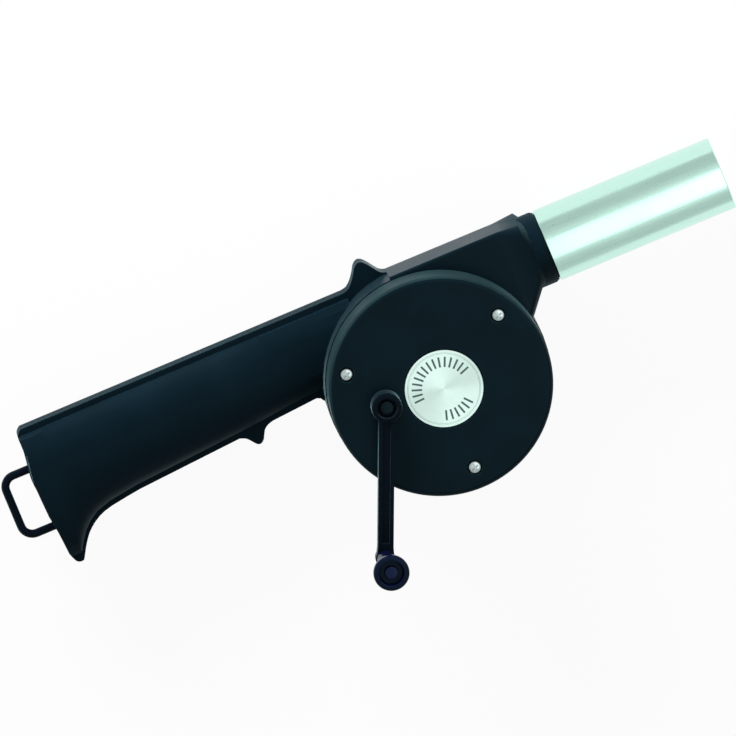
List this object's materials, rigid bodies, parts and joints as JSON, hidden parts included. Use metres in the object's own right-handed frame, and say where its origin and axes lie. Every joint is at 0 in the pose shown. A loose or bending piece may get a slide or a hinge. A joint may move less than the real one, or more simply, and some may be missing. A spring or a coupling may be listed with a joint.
{
  "type": "hand-cranked blower",
  "caption": "Hand-cranked barbecue blower: a geared crank on a round fan housing drives an inner impeller that blows air out of a straight metal tube; pistol-like grip with a hanging ring.",
  "frame": {"origin": "on the impeller's axis, in the plane of the flat back that carries the air intake", "axes": "+X along the blow tube towards its mouth; +Z along every shaft, from the flat back to the crank; +Y completes a right-handed frame, towards the side on which the tube leaves"},
  "size_m": [0.2998, 0.11, 0.0809],
  "materials": {
    "black_plastic": "moulded black plastic with a fine satin grain",
    "gloss_black_plastic": "polished black plastic",
    "grey_plastic": "moulded grey plastic",
    "white_plastic": "natural acetal, off-white",
    "bare_tube_metal": "bright plated steel, smooth",
    "bright_steel": "zinc-plated steel",
    "brass": "plain turned brass",
    "label_foil": "satin metal foil, unprinted"
  },
  "bodies": {
    "housing": {"front_shell": "black_plastic", "rear_shell": "black_plastic", "gear_cover": "black_plastic", "nozzle_tube": "bare_tube_metal", "hanging_loop": "black_plastic", "centre_label": "label_foil", "cover_screw_1": "bright_steel", "cover_screw_2": "bright_steel", "cover_screw_3": "bright_steel", "body_screw_1": "bright_steel", "body_screw_2": "bright_steel", "body_screw_3": "bright_steel", "body_screw_4": "bright_steel", "body_screw_5": "bright_steel", "body_screw_6": "bright_steel", "crank_bush_front": "brass", "crank_bush_rear": "brass", "impeller_bush_front": "brass", "impeller_bush_rear": "brass", "idler_pin": "bright_steel"},
    "crank": {"crank_shaft": "bright_steel", "drive_gear": "white_plastic", "crank_arm": "black_plastic", "crank_screw": "bright_steel", "knob_pin": "bright_steel"},
    "knob": {"crank_knob": "gloss_black_plastic"},
    "idler": {"idler_gear": "white_plastic"},
    "impeller": {"impeller": "grey_plastic", "impeller_shaft": "bright_steel", "impeller_pinion": "brass"}
  },
  "joints": [
    {"name": "crank_spin", "type": "hinge", "parent": "housing", "child": "crank", "pos_m": [-0.0222, 0.0023, 0], "axis": [0, 0, 1], "continuous": true},
    {"name": "knob_spin", "type": "hinge", "parent": "crank", "child": "knob", "pos_m": [-0.04467, -0.05182, 0], "axis": [0, 0, 1], "continuous": true},
    {"name": "idler_spin", "type": "hinge", "parent": "housing", "child": "idler", "pos_m": [-0.00887, 0.01612, 0], "axis": [0, 0, 1], "continuous": true},
    {"name": "impeller_spin", "type": "hinge", "parent": "housing", "child": "impeller", "pos_m": [0, 0, 0], "axis": [0, 0, 1], "continuous": true}
  ],
  "couplings": [
    {"joint": "idler_spin", "follows": "crank_spin", "ratio": -3},
    {"joint": "impeller_spin", "follows": "crank_spin", "ratio": 10.8}
  ]
}
